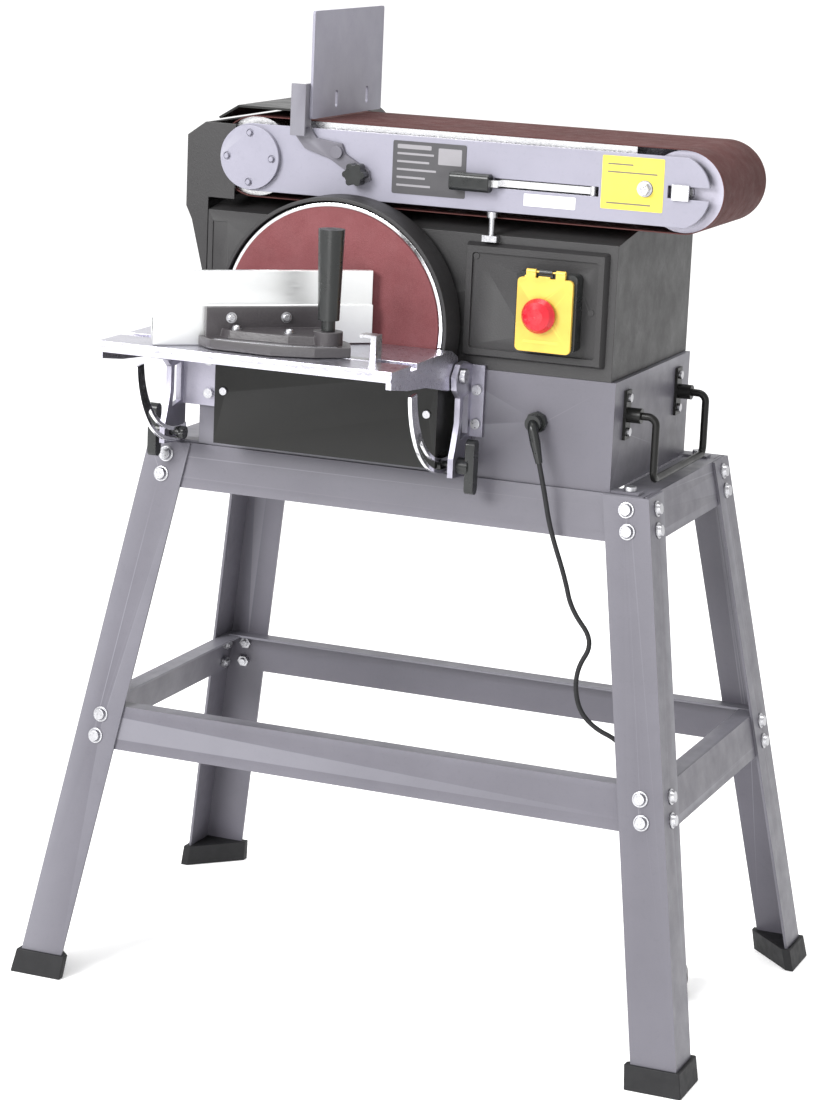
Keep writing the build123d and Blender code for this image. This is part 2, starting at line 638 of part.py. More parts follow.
SLOT_LEVER = (100.0, 214.0, 907.0, 917.0)
with BuildPart() as arm_front_plate:
    with BuildSketch(front_plane(PLATE_Y1)):
        arm_outline()
    extrude(amount=PLATE_Y1 - PLATE_Y0)
    # slot for the tension lever and the open slot for the idler axle
    block(SLOT_LEVER[0], SLOT_LEVER[1], PLATE_Y0 - 1, PLATE_Y1 + 1, SLOT_LEVER[2], SLOT_LEVER[3], Mode.SUBTRACT)
    block(IDLER_X - 14, ARM_END + 30, PLATE_Y0 - 1, PLATE_Y1 + 1, DRUM_Z - 6.3, DRUM_Z + 6.3, Mode.SUBTRACT)
    rod_y(17.3, DRUM_X, PLATE_Y0 - 1, PLATE_Y1 + 1, DRUM_Z, Mode.SUBTRACT)
    rod_y(4.2, -74, PLATE_Y0 - 1, PLATE_Y1 + 1, 931, Mode.SUBTRACT)
save(arm_front_plate, "arm_front_plate")

with BuildPart() as arm_rear_plate:
    with BuildSketch(front_plane(REAR_Y1)):
        arm_outline()
    extrude(amount=REAR_Y1 - REAR_Y0)
    block(IDLER_X - 14, ARM_END + 30, REAR_Y0 - 1, REAR_Y1 + 1, DRUM_Z - 6.3, DRUM_Z + 6.3, Mode.SUBTRACT)
    rod_y(22, DRUM_X, REAR_Y1, REAR_Y1 + 8, DRUM_Z)
    rod_y(17.3, DRUM_X, REAR_Y0 - 1, REAR_Y1 + 9, DRUM_Z, Mode.SUBTRACT)
save(arm_rear_plate, "arm_rear_plate")

with BuildPart() as bearing_cover:
    rod_y(34, DRUM_X, PLATE_Y0 - 6, PLATE_Y0 - 0.2, DRUM_Z)
    rod_y(17.0, DRUM_X, PLATE_Y0 - 0.2, PLATE_Y1 + 2, DRUM_Z)
    rod_y(12.2, DRUM_X, PLATE_Y0 - 2, PLATE_Y1 + 3, DRUM_Z, Mode.SUBTRACT)
    with Locations(Location((DRUM_X, PLATE_Y0 - 6, DRUM_Z), (90, 0, 0))):
        with PolarLocations(26, 4):
            Cylinder(4, 3, mode=Mode.SUBTRACT)
            Cylinder(2.6, 6)
save(bearing_cover, "bearing_cover")

PLATEN_TOP = DRUM_Z + DRUM_R - 0.3
with BuildPart() as platen:
    block(-125, IDLER_X - 52, -128, 18, PLATEN_TOP - 3, PLATEN_TOP)
    block(-125, IDLER_X - 52, -134.7, -131, 936, 950)
    block(-125, IDLER_X - 52, -131, -128, 936, PLATEN_TOP - 8)
    block(-125, IDLER_X - 52, -131, -127, PLATEN_TOP - 11, PLATEN_TOP - 8)
    block(-125, IDLER_X - 52, -128, -125, PLATEN_TOP - 11, PLATEN_TOP)
    block(-125, IDLER_X - 52, 15, 18, 936, PLATEN_TOP)
    block(-125, IDLER_X - 52, 18, 24.7, 936, 940)
    block(-60, 190, -125, 15, 936, 939)
    for brace_x in (-124.0, 60.0, IDLER_X - 56):
        block(brace_x, brace_x + 3, -125, 15, 925, PLATEN_TOP - 2)
save(platen, "platen")

with BuildPart() as drive_drum:
    rod_y(DRUM_R - 0.15, DRUM_X, -125, 15, DRUM_Z)
    rod_y(9.0, DRUM_X, -141, 146, DRUM_Z)
    rod_y(12.0, DRUM_X, -140.8, -125, DRUM_Z)
    rod_y(17.0, DRUM_X, 16, 117, DRUM_Z)
save(drive_drum, "drive_drum")

with BuildPart() as idler_drum:
    rod_y(DRUM_R - 0.15, IDLER_X, -125, 15, DRUM_Z)
    rod_y(10.3, IDLER_X, -126, 16, DRUM_Z, Mode.SUBTRACT)
save(idler_drum, "idler_drum")

with BuildPart() as idler_axle:
    rod_y(10.0, IDLER_X, -131, 21, DRUM_Z)
    rod_y(6.0, IDLER_X, -141.5, 31.5, DRUM_Z)
    block(IDLER_X - 9, IDLER_X + 9, PLATE_Y0 - 3.2, PLATE_Y0 - 0.2, DRUM_Z - 8, DRUM_Z + 8)
    block(IDLER_X - 9, IDLER_X + 9, REAR_Y1 + 0.2, REAR_Y1 + 3.2, DRUM_Z - 8, DRUM_Z + 8)
save(idler_axle, "idler_axle")

sand_ring = belt_loop(((DRUM_X, DRUM_Z), (IDLER_X, DRUM_Z)), (DRUM_R, DRUM_R), 0, 0, BELT_T, 0.0)
with BuildPart() as sanding_belt:
    with BuildSketch(front_plane(BELT_Y1)):
        add(sand_ring)
    extrude(amount=BELT_W)
save(sanding_belt, "sanding_belt")

with BuildPart() as arm_hood:
    with BuildSketch(front_plane(24.5)):
        with BuildLine():
            Polyline((-219, 957), (-196, 971), (-126, 971), (-126, 968.5), (-195.3, 968.5), (-217.6, 955), close=True)
        make_face()
    extrude(amount=155.5)
    block(-196, -126, 22, 24.5, 954.2, 970)
save(arm_hood, "arm_hood")

with BuildPart() as belt_guard:
    with BuildSketch(front_plane(BODY_Y0 + 3)):
        with BuildLine():
            Polyline(
                (-253, 936), (-232, 951), (-196, 951), (-196, 871), (-226.5, 871), (-226.5, 770), (-246, 846),
                (-253, 860), close=True,
            )
        make_face()
    extrude(amount=3)
    with BuildSketch(front_plane(118)):
        with BuildLine():
            Polyline(
                (-253, 936), (-232, 951), (-230.5, 949), (-250.5, 934.7), (-250.5, 860.6), (-243.6, 846.8),
                (-226.5, 780), (-226.5, 770), (-246, 846), (-253, 860), close=True,
            )
        make_face()
    extrude(amount=250)
    rod_y(20, DRUM_X, BODY_Y0 - 2, BODY_Y0 + 5, DRUM_Z, Mode.SUBTRACT)
    # dust outlet at the back
    with BuildSketch(front_plane(118)):
        with BuildLine():
            Polyline((-253, 936), (-232, 951), (-215, 951), (-215, 871), (-226.5, 871), (-226.5, 770),
                     (-246, 846), (-253, 860), close=True)
        make_face()
    extrude(amount=2.5)
save(belt_guard, "belt_guard")

with BuildPart() as dust_port:
    with BuildSketch(Plane(origin=(150, BODY_Y1 + 0.2, 790), x_dir=(-1, 0, 0), z_dir=(0, 1, 0))):
        RectangleRounded(84, 84, 8)
    extrude(amount=3)
    rod_y(29, 150, BODY_Y1 + 3, BODY_Y1 + 48, 790)
    rod_y(26, 150, BODY_Y1 - 1, BODY_Y1 + 50, 790, Mode.SUBTRACT)
    rod_y(30.5, 150, BODY_Y1 + 40, BODY_Y1 + 44, 790)
    rod_y(26, 150, BODY_Y1 + 36, BODY_Y1 + 50, 790, Mode.SUBTRACT)
save(dust_port, "dust_port")

with BuildPart() as arm_post:
    block(92, 108, BODY_Y0 - 9.5, BODY_Y0 - 0.2, 851.5, 858)
    rod_z(3.2, 100, -138.6, 858, 876.5)
    rod_z(5.6, 100, -138.6, 876.5, DRUM_Z - PLATE_HALF - 0.2)
save(arm_post, "arm_post")

# tension lever: a flat bar lying along its slot, with a plastic grip
LEVER_PIN_X = 206.0
LEVER_PIN_Y = -131.0
with BuildPart() as tension_lever:
    rod_z(4.0, LEVER_PIN_X, LEVER_PIN_Y, 902, 922)
    block(104, LEVER_PIN_X - 2, -134.4, -131, 908.4, 915.6)
    block(104, 108, -145, -131, 908.4, 915.6)
    block(98, 108, -148, -144, 908.4, 915.6)
save(tension_lever, "tension_lever")

with BuildPart() as tension_grip:
    with BuildSketch(side_plane(56)):
        with Locations((-147.5, 912)):
            RectangleRounded(15, 19, 5)
    extrude(amount=44)
    block(97.4, 101, -148.2, -143.8, 908.2, 915.8, Mode.SUBTRACT)
save(tension_grip, "tension_grip")

with BuildPart() as tracking_screw:
    with BuildSketch(front_plane(PLATE_Y0 - 0.2)):
        with Locations((IDLER_X - 38, DRUM_Z + 1)):
            Circle(8)
    extrude(amount=2)
    with BuildSketch(front_plane(PLATE_Y0 - 2.2)):
        with Locations((IDLER_X - 38, DRUM_Z + 1)):
            RegularPolygon(6.5, 6)
    extrude(amount=6)
save(tracking_screw, "tracking_screw")

# work stop across the belt
STOP_X = -104.0
with BuildPart() as stop_plate:
    with BuildSketch(side_plane(STOP_X)):
        with Locations((-52.5, 1019)):
            RectangleRounded(185, 112, 3)
            with Locations((-30, -38), (52, -38)):
                SlotOverall(18, 6.5, rotation=90, mode=Mode.SUBTRACT)
    extrude(amount=-3)
save(stop_plate, "stop_plate")

with BuildPart() as stop_bracket:
    # upright tab bolted to the plate, then the flat bar in front of the arm
    block(STOP_X - 6.2, STOP_X - 3.2, -153, -122, 966, 1000)
    block(STOP_X - 20, STOP_X - 3.2, -156, -153, 946, 1000)
    with BuildSketch(front_plane(-139.4)):
        with BuildLine():
            Polyline((-124, 966), (-107.2, 966), (-107.2, 955), (-99, 944), (-70, 940), (-66, 930), (-38, 914),
                     (-36, 904), (-44, 900), (-84, 924), (-112, 932), (-124, 946), close=True)
        make_face()
    extrude(amount=4)
    block(-124, -107.2, -156, -143.4, 955, 966)
    rod_y(4.0, -74, -143.4, -133, 931)
    rod_y(6.5, -74, -148, -143.4, 931)
    rod_y(4.2, -50, -145, -138, 910, Mode.SUBTRACT)
save(stop_bracket, "stop_bracket")

with BuildPart() as stop_knob:
    rod_y(4.0, -50, -150, -139.6, 910)
    with BuildSketch(front_plane(-144.0)):
        with Locations((-50, 910)):
            Circle(10)
            with PolarLocations(9, 6):
                Circle(3.6)
    extrude(amount=13)
save(stop_knob, "stop_knob")

# ---------------------------------------------------------------- disc table
with BuildPart() as table:
    block(TABLE_X0, TABLE_X1, TABLE_Y0, TABLE_Y1, TABLE_Z - TABLE_T, TABLE_Z)
    block(TABLE_X0 + 7, TABLE_X1 - 7, TABLE_Y0 + 5, TABLE_Y1 + 1, TABLE_Z - TABLE_T - 1, TABLE_Z - 6, Mode.SUBTRACT)
    # mitre slot with its walls, and stiffening ribs
    block(TABLE_X0, TABLE_X1, SLOT_Y - 14, SLOT_Y + 14, TABLE_Z - TABLE_T, TABLE_Z)
    for rib_x in (-170.0, -90.0, -10.0):
        block(rib_x - 2, rib_x + 2, TABLE_Y0 + 3, TABLE_Y1, TABLE_Z - TABLE_T, TABLE_Z - 6.2)
    block(TABLE_X0, TABLE_X1, TABLE_Y0 - 2.0, TABLE_Y0, TABLE_Z - TABLE_T, TABLE_Z - 7)
    # side cheeks that reach back to the pivots
    for cheek_x in (TABLE_X0, TABLE_X1 - 6):
        with BuildSketch(side_plane(cheek_x)):
            with BuildLine():
                Polyline((TABLE_Y0, TABLE_Z), (TABLE_Y0, 723), (-300, 716), (-250, 712), (-190, 700), (-172, 700),
                         (-160, 712), (-166, 733), (-184, TABLE_Z), close=True)
            make_face()
        extrude(amount=6)
    rod_x(4.95, TABLE_X0 - 1, TABLE_X1 + 1, PIVOT_Y, PIVOT_Z, Mode.SUBTRACT)
    block(TABLE_X0 - 1, TABLE_X1 + 1, SLOT_Y - SLOT_W / 2, SLOT_Y + SLOT_W / 2, TABLE_Z - 6, TABLE_Z + 1,
          Mode.SUBTRACT)
save(table, "table")


def arc_point(radius, angle):
    """Point on a circle round the tilt axis; 0 degrees is to the front, 90 is straight down."""
    a = math.radians(angle)
    return (PIVOT_Y - radius * math.cos(a), PIVOT_Z - radius * math.sin(a))


def sector(inner, outer, start, end):
    """Arc-shaped bar round the tilt axis."""
    middle = (start + end) / 2
    with BuildLine() as outline:
        ThreePointArc(arc_point(outer, start), arc_point(outer, middle), arc_point(outer, end))
        Line(arc_point(outer, end), arc_point(inner, end))
        ThreePointArc(arc_point(inner, end), arc_point(inner, middle), arc_point(inner, start))
        Line(arc_point(inner, start), arc_point(outer, start))
    make_face(outline.edges())


QUADRANTS = ((TABLE_X0 + 6.3, 4.0), (TABLE_X1 - 10.3, 4.0))
with BuildPart() as table_quadrants:
    for quad_x, quad_t in QUADRANTS:
        with BuildSketch(side_plane(quad_x)):
            sector(QUAD_R - 8, QUAD_R + 8, 5, 101)
        extrude(amount=quad_t)
        with BuildSketch(side_plane(quad_x - 1)):
            sector(QUAD_R - 3.6, QUAD_R + 3.6, 40, 95.5)
        extrude(amount=quad_t + 2, mode=Mode.SUBTRACT)
save(table_quadrants, "table_quadrants")

LOCK_Y, LOCK_Z = arc_point(QUAD_R, 92)


def trunnion_web(x0, thickness):
    """Fixed bracket beside the table: pivot at its top, lock at its foot."""
    with BuildSketch(side_plane(x0)) as web:
        with BuildLine():
            Polyline((-139, 722), (-160, 728), (-176, 726), (-186, 714), (-184, 700), (-172, 690), (-172, 664),
                     (-180, 640), (-185, 628), (-185, 608), (-139, 604), close=True)
        make_face()
        with BuildLine():
            Polyline((-148, 692), (-164, 690), (-164, 664), (-168, 646), (-148, 650), close=True)
        make_face(mode=Mode.SUBTRACT)
        with Locations((PIVOT_Y, PIVOT_Z), (LOCK_Y, LOCK_Z)):
            Circle(5.0, mode=Mode.SUBTRACT)
    extrude(to_extrude=web.sketch, amount=thickness)


RIGHT_WEB_X = TABLE_X1 + 1.0
LEFT_WEB_X = TABLE_X0 - 7.0
with BuildPart() as trunnions:
    for web_x, flange_x0, flange_x1, bolt_x in (
        (RIGHT_WEB_X, RIGHT_WEB_X, RIGHT_WEB_X + 20, 94.0),
        (LEFT_WEB_X, LEFT_WEB_X, -204, -216.0),
    ):
        trunnion_web(web_x, 6)
        block(flange_x0, flange_x1, -141, BODY_Y0 - 0.2, 646, 722)
        block(web_x, web_x + 6, -141, BODY_Y0 - 0.2, 604, 722)
        for z in (696.0, 660.0):
            rod_y(3.3, bolt_x, -142, BODY_Y0 + 1, z, Mode.SUBTRACT)
save(trunnions, "trunnions")

with BuildPart() as table_pivots:
    for pin_x0, pin_x1, head in (
        (TABLE_X1 - 8, RIGHT_WEB_X + 10, 1),
        (LEFT_WEB_X - 4, TABLE_X0 + 8, -1),
    ):
        rod_x(4.9, pin_x0, pin_x1, PIVOT_Y, PIVOT_Z)
        for head_x in ((pin_x0 - 3, pin_x0 + 1.6), (pin_x1 - 3.6, pin_x1 + 2.4)) if head > 0 else (
            (pin_x0 - 2.4, pin_x0 + 3.6), (pin_x1 - 1.6, pin_x1 + 3)
        ):
            rod_x(8, head_x[0], head_x[1], PIVOT_Y, PIVOT_Z)


def lock_knob(side):
    """Clamp bolt through the quadrant, with a bar handle outside the bracket."""
    outer = RIGHT_WEB_X + 6.3 if side > 0 else LEFT_WEB_X - 0.3
    inner = QUADRANTS[1][0] - 0.3 if side > 0 else QUADRANTS[0][0] + 4.3
    with BuildPart() as knob:
        x0, x1 = sorted((inner - side * 5, outer + side * 6))
        rod_x(3.4, x0, x1, LOCK_Y, LOCK_Z)
        x0, x1 = sorted((inner - side * 5, inner))
        rod_x(7, x0, x1, LOCK_Y, LOCK_Z)
        x0, x1 = sorted((outer, outer + side * 12))
        rod_x(9, x0, x1, LOCK_Y, LOCK_Z)
        with BuildSketch(Plane(origin=(outer + side * 14, LOCK_Y, LOCK_Z), x_dir=(0, 1, 0), z_dir=(side, 0, 0))):
            SlotOverall(58, 13, rotation=90)
        extrude(amount=5, both=True)
    return knob


save(lock_knob(1), "lock_knob_right")
save(lock_knob(-1), "lock_knob_left")

# ---------------------------------------------------------------- mitre gauge
with BuildPart() as miter_bar:
    block(MITER_X - 160, MITER_X + 56, SLOT_Y - 7.8, SLOT_Y + 7.8, TABLE_Z - 5.8, TABLE_Z + 0.3)
    block(MITER_X + 50, MITER_X + 56, SLOT_Y - 7.8, SLOT_Y + 7.8, TABLE_Z + 0.3, TABLE_Z + 26)
    block(MITER_X + 38, MITER_X + 56, SLOT_Y - 7.8, SLOT_Y + 7.8, TABLE_Z + 23, TABLE_Z + 26)
    rod_z(4.0, MITER_X, SLOT_Y, TABLE_Z, TABLE_Z + 30)
save(miter_bar, "miter_bar")

MITER_PLANE = Plane(
    origin=(MITER_X, SLOT_Y, TABLE_Z + 0.8),
    x_dir=(math.cos(math.radians(MITER_ANGLE)), math.sin(math.radians(MITER_ANGLE)), 0),
    z_dir=(0, 0, 1),
)
FENCE_GAP = 66.0
with BuildPart() as miter_head:
    with BuildSketch(MITER_PLANE):
        with BuildLine():
            Polyline((-118, FENCE_GAP), (-112, 40), (-62, -6), (-20, -22), (18, -22), (26, 8), (20, FENCE_GAP),
                     close=True)
        make_face()
    extrude(amount=10)
    with BuildSketch(MITER_PLANE.offset(10)):
        with BuildLine():
            Polyline((-100, FENCE_GAP), (-92, 44), (-40, 6), (0, -8), (14, 10), (14, FENCE_GAP), close=True)
        make_face()
    extrude(amount=8, taper=12)
    with BuildSketch(MITER_PLANE):
        with Locations((-48, FENCE_GAP - 4)):
            Rectangle(128, 8)
    extrude(amount=40)
    with BuildSketch(MITER_PLANE):
        Circle(15)
    extrude(amount=24)
    with BuildSketch(MITER_PLANE.offset(-1)):
        Circle(4.3)
    extrude(amount=60, mode=Mode.SUBTRACT)
save(miter_head, "miter_head")

with BuildPart() as miter_fence:
    fence_plane = Plane(
        origin=MITER_PLANE.from_local_coords((-165, FENCE_GAP + 0.3, 0.4)),
        x_dir=MITER_PLANE.y_dir,
        z_dir=MITER_PLANE.x_dir,
    )
    with BuildSketch(fence_plane):
        with BuildLine():
            Polyline((0, 0), (0, 40), (3, 40), (3, 75), (12, 75), (12, 0), close=True)
        make_face()
        with Locations((6, 20)):
            Rectangle(7, 14, mode=Mode.SUBTRACT)
    extrude(amount=232)
save(miter_fence, "miter_fence")

with BuildPart() as miter_handle:
    rod_z(7, MITER_X, SLOT_Y, TABLE_Z + 25.2, TABLE_Z + 36)
    with BuildSketch(Plane.XY.offset(TABLE_Z + 36)):
        with Locations((MITER_X, SLOT_Y)):
            Circle(11)
    with BuildSketch(Plane.XY.offset(TABLE_Z + 128)):
        with Locations((MITER_X, SLOT_Y)):
            Circle(13.5)
    loft()
    rod_z(4.3, MITER_X, SLOT_Y, TABLE_Z, TABLE_Z + 31, Mode.SUBTRACT)
save(miter_handle, "miter_handle")

# ---------------------------------------------------------------- lifting handle
HANDLE_YS = (-97.0, 77.0)
HANDLE_Z = 679.0
with BuildPart() as lift_handle:
    handle_points = (
        (251, HANDLE_YS[0], HANDLE_Z),
        (277, HANDLE_YS[0], HANDLE_Z),
        (277, HANDLE_YS[0], HANDLE_Z - 66),
        (277, HANDLE_YS[1], HANDLE_Z - 66),
        (277, HANDLE_YS[1], HANDLE_Z),
        (251, HANDLE_YS[1], HANDLE_Z),
    )
    with BuildLine() as handle_line:
        FilletPolyline(*handle_points, radius=9)
    with BuildSketch(Plane(origin=handle_points[0], z_dir=(1, 0, 0))):
        Circle(4)
    sweep(path=handle_line.wires()[0])
    for bracket_y in HANDLE_YS:
        block(BASE_X1 + 0.2, BASE_X1 + 3.2, bracket_y - 8, bracket_y + 8, HANDLE_Z - 26, HANDLE_Z + 26)
        rod_x(8, BASE_X1 + 3.2, BASE_X1 + 18, bracket_y, HANDLE_Z)
        for screw_z in (697.0, 661.0):
            rod_x(2.7, BASE_X1 - 1, BASE_X1 + 5, bracket_y, screw_z, Mode.SUBTRACT)
save(lift_handle, "lift_handle")

# ---------------------------------------------------------------- machine screws
with BuildPart() as body_screws:
    add(table_pivots.part)
    for bracket_y in HANDLE_YS:
        for screw_z in (697.0, 661.0):
            rod_x(2.5, BASE_X1 - 6, BASE_X1 + 3.3, bracket_y, screw_z)
            rod_x(4.6, BASE_X1 + 3.3, BASE_X1 + 6.3, bracket_y, screw_z)
    for screw_x in (-216.0, 94.0):
        for screw_z in (696.0, 660.0):
            rod_y(3.0, screw_x, -141.2, BODY_Y0 + 8, screw_z)
            rod_y(5.4, screw_x, -145.6, -141.2, screw_z)
    for screw_x in (-262.0, 262.0):
        for screw_y in (-125.0, 112.0):
            rod_z(3.0, screw_x, screw_y, BASE_Z0 - 9, BASE_Z0 + 2.7)
            rod_z(6.5, screw_x, screw_y, BASE_Z0 + 2.7, BASE_Z0 + 7.5)
    for screw_x in (-176.5, 57.0):
        rod_y(2.3, screw_x, COVER_Y, COVER_Y + 3.6, 673)
        rod_y(4.2, screw_x, COVER_Y - 2.6, COVER_Y, 673)
save(body_screws, "body_screws")

low = [min(getattr(b.min, a) for b in spans.values()) for a in ("X", "Y", "Z")]
high = [max(getattr(b.max, a) for b in spans.values()) for a in ("X", "Y", "Z")]
for part_name, part_box in spans.items():
    if part_box.min.Z < -0.001:
        print("below the floor:", part_name, round(part_box.min.Z, 2))
print("parts", len(spans), "box", [round(v, 2) for v in low], [round(v, 2) for v in high])
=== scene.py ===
import json
import math

import bmesh
import bpy
from mathutils import Matrix, Vector


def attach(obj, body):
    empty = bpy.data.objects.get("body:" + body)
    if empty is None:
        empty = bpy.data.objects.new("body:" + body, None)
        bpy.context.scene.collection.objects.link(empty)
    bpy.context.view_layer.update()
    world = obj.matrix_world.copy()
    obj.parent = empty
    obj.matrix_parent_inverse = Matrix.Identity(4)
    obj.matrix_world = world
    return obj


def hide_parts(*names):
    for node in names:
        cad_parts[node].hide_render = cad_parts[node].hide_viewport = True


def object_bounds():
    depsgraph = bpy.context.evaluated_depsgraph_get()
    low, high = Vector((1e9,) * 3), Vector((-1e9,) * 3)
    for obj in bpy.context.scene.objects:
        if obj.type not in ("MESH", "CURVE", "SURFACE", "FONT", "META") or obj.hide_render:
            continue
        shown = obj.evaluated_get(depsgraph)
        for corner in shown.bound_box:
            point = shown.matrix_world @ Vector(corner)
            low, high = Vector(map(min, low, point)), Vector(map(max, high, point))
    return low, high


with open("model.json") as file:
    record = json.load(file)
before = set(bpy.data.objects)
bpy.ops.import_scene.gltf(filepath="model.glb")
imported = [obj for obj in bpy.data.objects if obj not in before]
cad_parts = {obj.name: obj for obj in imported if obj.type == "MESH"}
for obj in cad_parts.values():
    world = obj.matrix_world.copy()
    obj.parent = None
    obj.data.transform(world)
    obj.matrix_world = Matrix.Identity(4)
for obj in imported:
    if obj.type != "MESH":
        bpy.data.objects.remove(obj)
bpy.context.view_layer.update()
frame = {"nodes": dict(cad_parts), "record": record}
nodes = frame["nodes"]
SHIFT = 0.051          # the stand's middle in Y


def at(x, y, z):
    """A point given in millimetres from the stand's middle, as a frame point in metres."""
    return Vector((x / 1000, y / 1000 + SHIFT, z / 1000))


# ------------------------------------------------------------------ camera
YAW, PITCH, ROLL = 0.382074, 0.222203, 0.042624
FOCAL_PX = 3138.3
view_dir = Vector((
    -math.sin(YAW) * math.cos(PITCH),
    math.cos(YAW) * math.cos(PITCH),
    -math.sin(PITCH),
))
right = Vector((math.cos(YAW), math.sin(YAW), 0))
up = right.cross(view_dir)
cam_right = right * math.cos(ROLL) + up * math.sin(ROLL)
cam_up = up * math.cos(ROLL) - right * math.sin(ROLL)
camera_data = bpy.data.cameras.new("camera")
camera_data.sensor_width = 36
camera_data.lens = FOCAL_PX / 1100 * 36
camera_data.clip_end = 50
camera = bpy.data.objects.new("camera", camera_data)
turn = Matrix((cam_right, cam_up, -view_dir)).transposed().to_4x4()
camera.matrix_world = Matrix.Translation(at(1237.66, -3167.2, 1251.97)) @ turn
bpy.context.scene.collection.objects.link(camera)
bpy.context.scene.camera = camera

# ------------------------------------------------------------------ mains lead
CORD_D = 0.0052
CORD_POINTS = [
    (172.34, -158.38, 629.07),
    (181.0, -161.6, 600.0),
    (188.0, -159.0, 562.0),
    (208.0, -160.0, 512.0),
    (217.0, -162.0, 480.0),
    (245.0, -163.0, 449.0),
    (226.0, -164.0, 416.0),
    (230.0, -165.0, 378.0),
    (249.0, -163.0, 357.0),
    (279.0, -160.0, 346.0),
    (300.0, -157.0, 310.0),
    (309.0, -160.0, 250.0),
    (326.0, -173.0, 190.0),
    (341.0, -186.0, 125.0),
    (351.0, -190.0, 66.0),
    (352.0, -172.0, 24.0),
    (343.0, -140.0, 3.5),
]
HANK_FROM = Vector((337.5, -120.5, 0))
HANK_ALONG = Vector((-0.283, 0.959, 0))
HANK_ACROSS = Vector((0.959, 0.283, 0))
HANK_R = 20.5                # the turns at both ends of the hank
HANK_LOW = 2.8               # height of the lowest runs' middle
HANK_LOOPS = 3
HANK_STEP = 6.2              # from one loop to the next
HANK_SIDE = -10.4            # where the first loop lies across the hank
RUN_FROM, RUN_TO = 27, 122   # the straight part of a loop
RUN_MIDDLE = (RUN_FROM + RUN_TO) / 2
RUN_INSET = 8                # keeps the runs' points off the turns


def in_hank(along, across, height):
    p = HANK_FROM + HANK_ALONG * along + HANK_ACROSS * across
    return (p.x, p.y, height)


def hank_turn(centre, first, across, drift):
    """Six points round one end of a loop, drifting sideways as they go."""
    middle = HANK_LOW + HANK_R
    pts = []
    for k in range(6):
        a = math.radians(first + 30 * k)
        height = middle + HANK_R * 1.02 * math.sin(a)
        pts.append(in_hank(centre + HANK_R * math.cos(a), across + drift * k, height))
    return pts


def hank_loops():
    """Upright oval loops side by side, one spline all the way."""
    pts = []
    top = HANK_LOW + 2 * HANK_R
    for loop in range(HANK_LOOPS):
        across = HANK_SIDE + loop * HANK_STEP
        pts.append(in_hank(RUN_FROM + RUN_INSET, across, HANK_LOW))
        pts.append(in_hank(RUN_MIDDLE, across + 0.5, HANK_LOW))
        pts.append(in_hank(RUN_TO - RUN_INSET, across + 1, HANK_LOW))
        pts += hank_turn(RUN_TO, -75, across + 1, 0.35)
        pts.append(in_hank(RUN_TO - RUN_INSET, across + 3.2, top))
        pts.append(in_hank(RUN_MIDDLE, across + 3.7, top))
        pts.append(in_hank(RUN_FROM + RUN_INSET, across + 4.2, top))
        pts += hank_turn(RUN_FROM, 105, across + 4.4, 0.4)
    last = HANK_SIDE + HANK_LOOPS * HANK_STEP
    pts.append(in_hank(RUN_FROM + RUN_INSET, last + 0.6, HANK_LOW))
    # last run, which rises to the back of the plug
    pts.append(in_hank(84, last + 1.6, HANK_LOW))
    pts.append(in_hank(124, last + 2.4, 3.6))
    pts.append(in_hank(143, last + 1.6, 7.5))
    pts.append(in_hank(157, last - 1.8, 15.5))
    pts.append(in_hank(172, 6.0, 19.5))
    return pts


cord_points = [at(*p) for p in CORD_POINTS + hank_loops()]
cord_curve = bpy.data.curves.new("mains_lead", "CURVE")
cord_curve.dimensions = "3D"
spline = cord_curve.splines.new("NURBS")
spline.points.add(len(cord_points) - 1)
for point, p in zip(spline.points, cord_points):
    point.co = (*p, 1)
    point.radius = CORD_D / 2
spline.order_u = 3
spline.use_endpoint_u = True
spline.resolution_u = 8
cord_curve.bevel_depth = 1.0
cord_curve.bevel_resolution = 4
cord_curve.use_fill_caps = True
lead = bpy.data.objects.new("mains_lead", cord_curve)
bpy.context.scene.collection.objects.link(lead)


def spline_length(obj):
    """Length of the smooth line itself, measured without its thickness."""
    bare = obj.data.copy()
    bare.bevel_depth = 0
    probe = bpy.data.objects.new("probe", bare)
    mesh = bpy.data.meshes.new_from_object(probe)
    points = [v.co for v in mesh.vertices]
    total = sum((points[e.vertices[0]] - points[e.vertices[1]]).length for e in mesh.edges)
    bpy.data.objects.remove(probe)
    bpy.data.curves.remove(bare)
    bpy.data.meshes.remove(mesh)
    return total


LEAD_LENGTH = round(spline_length(lead), 3)
print("lead length", LEAD_LENGTH)


# ------------------------------------------------------------------ materials
def tree_of(name):
    m = bpy.data.materials.new(name)
    m.use_nodes = True
    t = m.node_tree
    return m, t, t.nodes["Principled BSDF"]


def noise(t, scale, detail=4, rough=0.5, stretch=(1, 1, 1)):
    """Noise in object space, in metres, stretched along an axis if asked."""
    coord = t.nodes.new("ShaderNodeTexCoord")
    mapping = t.nodes.new("ShaderNodeMapping")
    mapping.inputs["Scale"].default_value = stretch
    n = t.nodes.new("ShaderNodeTexNoise")
    n.inputs["Scale"].default_value = scale
    n.inputs["Detail"].default_value = detail
    n.inputs["Roughness"].default_value = rough
    t.links.new(coord.outputs["Object"], mapping.inputs["Vector"])
    t.links.new(mapping.outputs["Vector"], n.inputs["Vector"])
    return n.outputs["Fac"]


def ramp(t, value, stops):
    r = t.nodes.new("ShaderNodeValToRGB")
    for element, (pos, col) in zip(r.color_ramp.elements, (stops[0], stops[-1])):
        element.position = pos
        element.color = (*col, 1)
    for pos, col in stops[1:-1]:
        r.color_ramp.elements.new(pos).color = (*col, 1)
    t.links.new(value, r.inputs["Fac"])
    return r.outputs["Color"]


